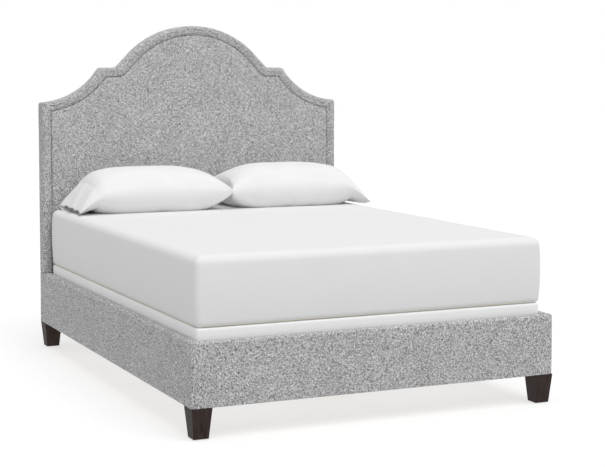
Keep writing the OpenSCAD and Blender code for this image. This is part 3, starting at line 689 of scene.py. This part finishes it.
def rail_section():
    """Closed section of a padded rail as (distance in, height) points, the board's points last."""
    low = line((RAIL_T, RAIL_Z), (RAIL_LOW_ROLL, RAIL_Z), 5)
    low_roll = arc((RAIL_LOW_ROLL, RAIL_Z + RAIL_LOW_ROLL), RAIL_LOW_ROLL, 270, 180, 5)
    top_roll = arc((RAIL_ROLL, RAIL_TOP - RAIL_ROLL), RAIL_ROLL, 180, 90, 9)
    face = line(low_roll[-1], top_roll[0], 12)[1:]
    face[:, 0] -= RAIL_BULGE * np.sin(np.pi * np.arange(1, 12) / 12)
    inner_r = 4 * MM
    inner = arc((RAIL_T - inner_r, RAIL_TOP - inner_r), inner_r, 90, 0, 5)
    board = [
        (RAIL_T, RAIL_TOP - BOARD_TOP_DROP), (BOARD_INSET, RAIL_TOP - BOARD_TOP_DROP),
        (BOARD_INSET, RAIL_Z + BOARD_LOW_RISE), (RAIL_T, RAIL_Z + BOARD_LOW_RISE),
    ]
    return np.concatenate([low, low_roll, face, top_roll, inner, board])


def quarter_round(reach, radius):
    """How far a rounded corner has drawn in, at a distance past the start of its curve."""
    return radius - math.sqrt(radius**2 - min(max(reach, 0.0), radius) ** 2)


def side_rail(side, name):
    """Padding and cover of a side rail, its head end rounded."""
    section = rail_section()
    end_r = 4 * MM
    straight = np.linspace(FOOT_BACK, HEAD_END - end_r, 75)
    curved = HEAD_END - end_r + end_r * np.sin(np.radians([30, 60, 90]))
    rings = []
    for y in (*straight, *curved):
        pull = quarter_round(y - (HEAD_END - end_r), end_r)
        inward = np.maximum(section[:, 0], pull)
        height = np.minimum(section[:, 1], RAIL_TOP - pull)
        rings.append(np.column_stack([side * (HALF_W - inward), np.full(len(section), y), height]))
    rings = np.array(rings)
    flat = rings.reshape(-1, 3)
    outer = np.abs(flat[:, 0]) > HALF_W - 2 * MM
    flat[:, 0] += side * ripple(flat, 0.15, 0.6 * MM, 2.0 + side) * outer
    piece = make_piece(
        f"side_rail_{name}_padding", loft(rings), "frame",
        [f"side_rail_{name}_cover", f"side_rail_{name}_foam"], "upholstery",
    )


def foot_rail_stations():
    """Places along the foot rail, each with whether the board runs through it."""
    board_end = HALF_W - BOARD_INSET
    round_from = HALF_W - FOOT_CORNER_R
    curved = round_from + FOOT_CORNER_R * np.sin(np.radians(np.linspace(0, 90, 12)[1:]))
    half = [(x, True) for x in curved if x < board_end]
    half += [(board_end, True), (board_end, False)]
    half += [(x, False) for x in curved if x > board_end]
    middle = [(x, True) for x in np.linspace(-round_from, round_from, 60)]
    return [(-x, through) for x, through in half[::-1]] + middle + half


def foot_rail():
    """Padding and cover of the foot rail, wrapped round both upright corners."""
    section = rail_section()
    rings = []
    for x, through in foot_rail_stations():
        front_pull = quarter_round(abs(x) - (HALF_W - FOOT_CORNER_R), FOOT_CORNER_R)
        top_pull = quarter_round(abs(x) - (HALF_W - RAIL_ROLL), RAIL_ROLL)
        depth = section[:, 0] + front_pull * (1 - section[:, 0] / RAIL_T)
        share = np.clip((section[:, 1] - RAIL_Z) / (RAIL_TOP - RAIL_Z), 0, 1)
        if not through:
            depth[-BOARD_POINTS:] = RAIL_T
        rings.append(np.column_stack([
            np.full(len(section), x), FOOT_FRONT + depth, section[:, 1] - top_pull * share**4,
        ]))
    rings = np.array(rings)
    flat = rings.reshape(-1, 3)
    outer = flat[:, 1] < FOOT_FRONT + 2 * MM
    flat[:, 1] += ripple(flat, 0.15, 0.6 * MM, 7.0) * outer
    piece = make_piece(
        "foot_rail_padding", loft(rings), "frame",
        ["foot_rail_cover", "foot_rail_foam"], "upholstery",
    )


def head_rail_wrap():
    """Cloth stretched down the back of the head rail and turned under its board."""
    low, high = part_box("head_rail_cover")
    turn_r = 3 * MM
    outer = arc((high.y - turn_r, low.z + turn_r), turn_r, 270, 360, 6)
    inner = arc((high.y - turn_r, low.z + turn_r), turn_r - FABRIC_T, 360, 270, 6)
    section = np.concatenate([
        line((low.y, low.z), outer[0], 6), outer[:-1], line(outer[-1], (high.y, high.z), 20),
        line((high.y, high.z), (high.y - FABRIC_T, high.z), 1),
        line((high.y - FABRIC_T, high.z), inner[0], 20), inner[:-1],
        line(inner[-1], (low.y, low.z + FABRIC_T), 6), [(low.y, low.z + FABRIC_T)],
    ])
    stations = np.linspace(low.x, high.x, 80)
    rings = np.array([np.column_stack([np.full(len(section), x), section]) for x in stations])
    flat = rings.reshape(-1, 3)
    flat[:, 1] += ripple(flat * (1, 0, 1), 0.2, 0.5 * MM, 12.0) * (flat[:, 2] > low.z + turn_r)
    piece = make_piece("head_rail_wrap", loft(rings), "frame", ["head_rail_cover"], "upholstery")


# --- Box spring and mattress ---

SHEET_BULGE = 8 * MM
SHEET_TOP_ROLL = 34 * MM
SHEET_LOW_ROLL = 19 * MM
SHEET_CORNER = 18 * MM
SHEET_TURN_UNDER = 90 * MM
BOX_CORNER = 12 * MM


def rounded_plan(half_x, half_y, middle_y, corner, side_steps=40, corner_steps=8):
    """Rounded rectangle in plan, as (x, y) points."""
    corners = []
    for quarter, (sx, sy) in enumerate([(1, 1), (-1, 1), (-1, -1), (1, -1)]):
        centre = (sx * (half_x - corner), middle_y + sy * (half_y - corner))
        corners.append(arc(centre, corner, 90 * quarter, 90 * quarter + 90, corner_steps))
    rows = []
    for quarter in range(4):
        rows.append(corners[quarter][:-1])
        rows.append(line(corners[quarter][-1], corners[(quarter + 1) % 4][0], side_steps))
    return np.concatenate(rows)


def close_over(rings, middle, steps, crown=0.0):
    """Adds rings drawn in towards a middle point, the last one small, rising by crown."""
    last = rings[-1]
    closing = []
    for share in np.linspace(0, 1, steps)[1:-1]:
        ring = middle + (last - middle) * (1 - share)
        ring[:, 2] += crown * (1 - (1 - share) ** 2)
        closing.append(ring)
    return [*rings, *closing]


def slab_rings(low, high, profile, corner, steps, crown=0.0):
    """Rings of a slab from (inset, height) pairs, then rings across its top."""
    half_x, half_y = (high.x - low.x) / 2, (high.y - low.y) / 2
    middle_y = (high.y + low.y) / 2
    rings = []
    for inset, z in profile:
        plan = rounded_plan(half_x - inset, half_y - inset, middle_y, max(corner - inset, 2 * MM))
        rings.append(np.column_stack([plan, np.full(len(plan), z)]))
    return np.array(close_over(rings, np.array([0.0, middle_y, profile[-1][1]]), steps, crown))


def side_profile(low, high, low_roll, top_roll, bulge, skin=0.0, steps=12):
    """(inset, z) pairs up the side of a slab, with rolled edges and a bulge."""
    bottom, top = low.z + skin, high.z - skin
    foot = arc((skin + low_roll, bottom + low_roll), low_roll, 270, 180, 6)
    head = arc((skin + top_roll, top - top_roll), top_roll, 180, 90, 12)
    profile = np.concatenate([foot, line(foot[-1], head[0], steps)[1:], head])
    share = np.clip((profile[:, 1] - bottom) / (top - bottom), 0, 1)
    profile[:, 0] -= bulge * np.sin(np.pi * share) ** 0.8
    return profile


def slab_piece(name, rings, body, stands_for, finish):
    """A padded slab made of rings."""
    make_piece(name, loft(rings), body, [stands_for], finish)


def box_spring():
    """Cloth cover of the box spring and the pad under its top."""
    low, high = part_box("box_spring_cover")
    profile = side_profile(low, high, 4 * MM, 9 * MM, 0.8 * MM)
    rings = slab_rings(low, high, profile, BOX_CORNER, 8)
    slab_piece(
        "box_spring_cover_cloth", rings, "box_spring", "box_spring_cover", "box_spring_fabric",
    )
    pad_low, pad_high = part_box("box_spring_pad")
    profile = edge_profile(pad_low.z, pad_high.z, PAD_LOW_EDGE, PAD_TOP_EDGE)
    rings = slab_rings(pad_low, pad_high, profile, BOX_CORNER, 8)
    slab_piece("box_spring_top_pad", rings, "box_spring", "box_spring_pad", "foam")


def mattress():
    """Quilted mattress cover and the comfort foam under it, both inside the sheet."""
    low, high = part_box("fitted_sheet")
    profile = side_profile(low, high, SHEET_LOW_ROLL, SHEET_TOP_ROLL, SHEET_BULGE, 1.8 * MM)
    rings = slab_rings(low, high, profile, SHEET_CORNER, 10, 2 * MM)
    slab_piece("mattress_quilted_cover", rings, "mattress", "mattress_cover", "mattress_fabric")
    foam_low, foam_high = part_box("mattress_comfort_foam")
    profile = edge_profile(foam_low.z, foam_high.z, FOAM_LOW_EDGE, FOAM_TOP_EDGE)
    rings = slab_rings(foam_low, foam_high, profile, SHEET_CORNER, 6)
    slab_piece("mattress_comfort_layer", rings, "mattress", "mattress_comfort_foam", "foam")


def fitted_sheet():
    """Cotton sheet stretched over the mattress and turned under it all round."""
    low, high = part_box("fitted_sheet")
    under = [
        (inset, low.z + 0.3 * MM)
        for inset in np.linspace(SHEET_TURN_UNDER, SHEET_LOW_ROLL * 1.4, 8)
    ]
    side = side_profile(low, high, SHEET_LOW_ROLL, SHEET_TOP_ROLL, SHEET_BULGE, 0.0, 24)
    rings = slab_rings(low, high, [*under, *side], SHEET_CORNER, 20, 3 * MM)
    flat = rings.reshape(-1, 3)
    half_size = np.array([(high.x - low.x) / 2, (high.y - low.y) / 2])
    outward = (flat[:, :2] - (0.0, (low.y + high.y) / 2)) / half_size
    at_side = np.clip((np.abs(outward).max(axis=1) - 0.9) / 0.1, 0, 1)
    near_corner = np.clip((np.abs(outward).min(axis=1) - 0.75) / 0.25, 0, 1) ** 2
    upright_folds = ripple(flat * (1.0, 1.0, 0.25), 0.05, 1.0, 3.0)
    pull = upright_folds * (0.4 * MM + 0.9 * MM * near_corner) + ripple(flat, 0.3, 1.5 * MM, 5.0)
    push = outward / np.linalg.norm(outward, axis=1, keepdims=True).clip(1e-6)
    flat[:, :2] += push * (pull * at_side)[:, None]
    on_top = flat[:, 2] > high.z - 2 * MM
    flat[:, 2] += wrinkles(flat, *SHEET_TOP_WRINKLES) * on_top
    piece = make_piece(
        "fitted_sheet_cloth", loft(rings, first_cap=False), "mattress",
        ["fitted_sheet"], "sheet_cotton",
    )
    thickness = piece.modifiers.new("cloth_thickness", "SOLIDIFY")
    thickness.thickness = 0.9 * MM
    thickness.offset = -1.0


# --- Pillows ---

PILLOW_COLUMNS, PILLOW_ROWS, HEM_COLUMNS = 60, 44, 9
SEAM_SHARE = 0.46
BELLY = 1.33
HEM_LIFT = 9 * MM
HEM_GAP = 7 * MM
CLOTH_FRAMES = 20
CLOTH_PRESSURE = 4.0
CLOTH_CAP = 14 * MM
CASE_THICKNESS = 0.9 * MM
INSERT_GAP = 4 * MM
# Share of the grid points that bunch up towards the edges
BUNCHED = 0.65
# Where the case starts to flatten towards its hem, and how gently
TAPER_FROM, TAPER_POWER = 0.88, 1.6
# Fullness along and across the pillow: lower powers keep it full closer to the edge
END_BLUNTNESS, END_POWER, HEM_FULLNESS = 3.2, 0.62, 0.5
TOP_POWER, LOW_POWER = 0.52, 0.5
# How far the edges are drawn in
END_PULL, SIDE_PULL, HEM_PULL = 0.045, 0.055, 0.04
# Size and height of the bumps
SOFT_BUMPS, CREASES, HEM_WAVES = (0.19, 9 * MM), (0.07, 2.6 * MM), (0.05, 12 * MM)


def spaced(count):
    """Grid lines from -1 to 1, closer together at both ends."""
    bunched = np.sin(np.radians(np.linspace(-90, 90, count + 1)))
    return BUNCHED * bunched + (1 - BUNCHED) * np.linspace(-1, 1, count + 1)


def pillow_layers(length, depth, height, seed):
    """Top and bottom of a plump pillow as grids from its hem at -X to its sewn end at +X."""
    half_l, half_d = (length - HEM_WIDTH) / 2, depth / 2
    hem = np.linspace(-1 - HEM_WIDTH / half_l, -1, HEM_COLUMNS, endpoint=False)
    columns = np.concatenate([hem, spaced(PILLOW_COLUMNS)])
    s, t = np.meshgrid(columns, spaced(PILLOW_ROWS), indexing="ij")
    taper = (-s - TAPER_FROM) / (HEM_WIDTH / half_l + 1 - TAPER_FROM)
    past = np.clip(taper, 0, 1) ** TAPER_POWER
    inside = np.clip(s, -1, 1)
    closed = np.clip(1 - np.abs(inside) ** END_BLUNTNESS, 0, 1) ** END_POWER
    along = np.where(s > 0, closed, HEM_FULLNESS + (1 - HEM_FULLNESS) * closed) * (1 - past)
    rounding = np.clip(1 - t**2, 0, 1)
    across_top = rounding**TOP_POWER
    x = half_l * (s - END_PULL * (1 - t**2) * np.clip(inside, 0, 1) ** 3)
    y = half_d * t * (1 - SIDE_PULL * (1 - inside**2)) * (1 - HEM_PULL * past)
    place = np.stack([x, y, np.zeros_like(x)], axis=-1).reshape(-1, 3)
    soft = ripple(place, *SOFT_BUMPS, seed).reshape(x.shape) * along
    crease = ripple(place * (1.0, 2.2, 1.0), *CREASES, seed + 5).reshape(x.shape) * along**0.4
    hem_wave = ripple(place, *HEM_WAVES, seed + 9).reshape(x.shape) * past
    lift = SEAM_SHARE * height * (1 - past) + (HEM_LIFT + hem_wave) * past
    gap = HEM_GAP / 2 * np.sqrt(rounding) * past
    top = lift + ((1 - SEAM_SHARE) * height * along + soft + crease) * across_top + gap
    low = lift - BELLY * SEAM_SHARE * height * along * rounding**LOW_POWER - gap
    low = np.maximum(low, 0.0)
    return np.stack([x, y, np.maximum(top, low)], axis=-1), np.stack([x, y, low], axis=-1)


def layered_mesh(top, low, sewn):
    """Vertices and quads of two grids that share the points where they are sewn."""
    first = np.arange(top.shape[0] * top.shape[1]).reshape(top.shape[:2])
    second = np.where(sewn, first, first + first.size)
    faces = []
    for layer, flip in ((first, 1), (second, -1)):
        quads = np.stack([layer[:-1, :-1], layer[1:, :-1], layer[1:, 1:], layer[:-1, 1:]], axis=-1)
        faces += quads.reshape(-1, 4)[:, ::flip].tolist()
    used = np.unique(np.array(faces))
    number = np.zeros(2 * first.size, int)
    number[used] = np.arange(len(used))
    vertices = np.concatenate([top.reshape(-1, 3), low.reshape(-1, 3)])[used]
    return vertices, number[np.array(faces)].tolist(), number[first], number[second]


def sewn_edges(shape, open_hem):
    """Which grid points are sewn: both long sides, the closed end and a hem that isn't open."""
    sewn = np.zeros(shape, bool)
    sewn[:, 0] = sewn[:, -1] = sewn[-1, :] = True
    sewn[0, :] |= not open_hem
    return sewn


def filled_out(vertices, faces, body_points):
    """The case filled out by cloth pressure without gravity, each point moving at most the cap."""
    mesh = bpy.data.meshes.new("pillow_bag")
    mesh.from_pydata([tuple(v) for v in vertices], [], faces)
    bag = bpy.data.objects.new("pillow_bag", mesh)
    bpy.context.scene.collection.objects.link(bag)
    filled = bag.vertex_groups.new(name="filled")
    filled.add([int(i) for i in body_points], 1.0, "REPLACE")
    cloth = bag.modifiers.new("Cloth", "CLOTH")
    settings = cloth.settings
    settings.quality = 6
    settings.mass = 0.25
    settings.tension_stiffness = settings.compression_stiffness = 30
    settings.shear_stiffness = 10
    settings.bending_stiffness = 0.6
    settings.air_damping = 2.0
    settings.shrink_min = -0.025
    settings.use_pressure = True
    settings.uniform_pressure_force = CLOTH_PRESSURE
    settings.vertex_group_pressure = "filled"
    settings.effector_weights.gravity = 0.0
    cloth.point_cache.frame_end = CLOTH_FRAMES
    scene = bpy.context.scene
    for step in range(1, CLOTH_FRAMES + 1):
        scene.frame_set(step)
    shaped = bag.evaluated_get(bpy.context.evaluated_depsgraph_get())
    settled = np.array([v.co for v in shaped.data.vertices])
    bpy.data.objects.remove(bag)
    scene.frame_set(1)
    move = settled - vertices
    far = np.linalg.norm(move, axis=1, keepdims=True)
    return vertices + move * np.minimum(1, CLOTH_CAP / far.clip(1e-9))


def pillow(side, name, seed):
    """A pillow in its case: the case is filled out as cloth and the insert lies inside it."""
    low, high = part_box(f"pillowcase_{name}")
    size = high - low
    top, bottom = pillow_layers(size.x, size.y, size.z, seed)
    sewn = sewn_edges(top.shape[:2], open_hem=True)
    vertices, faces, first, second = layered_mesh(top, bottom, sewn)
    body_points = np.unique([first[HEM_COLUMNS:], second[HEM_COLUMNS:]])
    vertices = filled_out(vertices, faces, body_points)
    vertices[:, 2] = np.maximum(vertices[:, 2], 0.0)
    middle = np.array([(low.x + high.x - side * HEM_WIDTH) / 2, (low.y + high.y) / 2, low.z])
    placed = vertices * (-side, 1, 1) + middle
    case = make_piece(
        f"pillowcase_{name}_cloth", (placed, faces), f"pillow_{name}", [f"pillowcase_{name}"],
        "pillow_cotton", 80,
    )
    smooth = case.modifiers.new("smooth", "SUBSURF")
    smooth.levels = smooth.render_levels = 1
    thickness = case.modifiers.new("cloth_thickness", "SOLIDIFY")
    thickness.thickness = CASE_THICKNESS
    thickness.offset = -1.0
    upper, lower = placed[first[HEM_COLUMNS:]], placed[second[HEM_COLUMNS:]]
    core = slice(1, -1)
    upper, lower = upper[core, core], lower[core, core]
    centre_line = (upper + lower) / 2
    reach = np.linalg.norm(upper - lower, axis=-1, keepdims=True) / 2
    keep = np.clip(1 - INSERT_GAP / reach.clip(1e-6), 0.0, 1.0)
    sewn = sewn_edges(upper.shape[:2], open_hem=False)
    keep[sewn] = 0.0
    upper = centre_line + (upper - centre_line) * keep
    lower = centre_line + (lower - centre_line) * keep
    vertices, faces, _, _ = layered_mesh(upper, lower, sewn)
    insert = make_piece(
        f"pillow_insert_{name}_ticking", (vertices, faces), f"pillow_{name}",
        [f"pillow_insert_{name}"], "pillow_ticking", 80,
    )


# --- Studio ---

FLOOR_SIZE = 30.0
FLOOR_GLOW = 0.62
FLOOR_ALBEDO = 0.40
AMBIENT = 0.62
BACKDROP = 1.0
KEY_FROM = (0.10, -0.42, 0.90)
KEY_STRENGTH = 1.5
KEY_SOFTNESS = 50
CAMERA_AT = (-2.7477, -6.3593, 1.4106)
CAMERA_YAW = 24.50
CAMERA_PITCH = 4.097
CAMERA_LENS = 90.54
CAMERA_SHIFT = -0.10


def studio():
    """Plain pale floor that glows a little, white surroundings and soft lights."""
    floor_mesh = bpy.data.meshes.new("floor")
    half = FLOOR_SIZE
    corners = [(-half, -half, 0), (half, -half, 0), (half, half, 0), (-half, half, 0)]
    floor_mesh.from_pydata(corners, [], [(0, 1, 2, 3)])
    floor = bpy.data.objects.new("floor", floor_mesh)
    floor.visible_diffuse = False
    bpy.context.scene.collection.objects.link(floor)
    pale = Shader("pale_floor", 0.9, Specular_IOR_Level=0.1, Emission_Strength=FLOOR_GLOW)
    pale.surface.inputs["Emission Color"].default_value = (1.0, 1.0, 1.0, 1.0)
    grain = pale.noise(pale.coordinates(), 3.0, 2.0)
    pale.colour(pale.ramp(grain, [(0.3, (FLOOR_ALBEDO * 0.98,) * 3), (0.7, (FLOOR_ALBEDO,) * 3)]))
    floor_mesh.materials.append(pale.material)
    world = bpy.data.worlds.new("surroundings")
    bpy.context.scene.world = world
    world.use_nodes = True
    backdrop = world.node_tree.nodes["Background"]
    backdrop.inputs["Color"].default_value = (1.0, 1.0, 1.0, 1.0)
    seen = world.node_tree.nodes.new("ShaderNodeLightPath")
    strength = world.node_tree.nodes.new("ShaderNodeMix")
    strength.inputs["A"].default_value = AMBIENT
    strength.inputs["B"].default_value = BACKDROP
    world.node_tree.links.new(seen.outputs["Is Camera Ray"], strength.inputs["Factor"])
    world.node_tree.links.new(strength.outputs["Result"], backdrop.inputs["Strength"])
    add_sun("key", KEY_FROM, KEY_STRENGTH, KEY_SOFTNESS)


def add_sun(name, comes_from, strength, softness):
    """Wide soft light from one direction."""
    lamp = bpy.data.lights.new(name, "SUN")
    lamp.angle = math.radians(softness)
    lamp.energy = strength
    light = bpy.data.objects.new(name, lamp)
    light.rotation_euler = Vector(comes_from).to_track_quat("Z", "Y").to_euler()
    bpy.context.scene.collection.objects.link(light)


def camera():
    """Camera at eye height, off to the left of the foot of the bed."""
    lens = bpy.data.cameras.new("camera")
    lens.lens = CAMERA_LENS
    lens.sensor_width = 36.0
    lens.shift_y = CAMERA_SHIFT
    view = bpy.data.objects.new("camera", lens)
    view.location = CAMERA_AT
    view.rotation_euler = (math.radians(90 - CAMERA_PITCH), 0.0, math.radians(-CAMERA_YAW))
    bpy.context.scene.collection.objects.link(view)
    bpy.context.scene.camera = view


camera()
studio()
bpy.context.scene.view_settings.view_transform = "Standard"
finish_cad_nodes()
headboard_border()
headboard_center()
headboard_plywood()
headboard_back()
side_rail(-1, "left")
side_rail(1, "right")
foot_rail()
head_rail_wrap()
box_spring()
mattress()
fitted_sheet()
pillow(-1, "left", 1.0)
pillow(1, "right", 6.0)
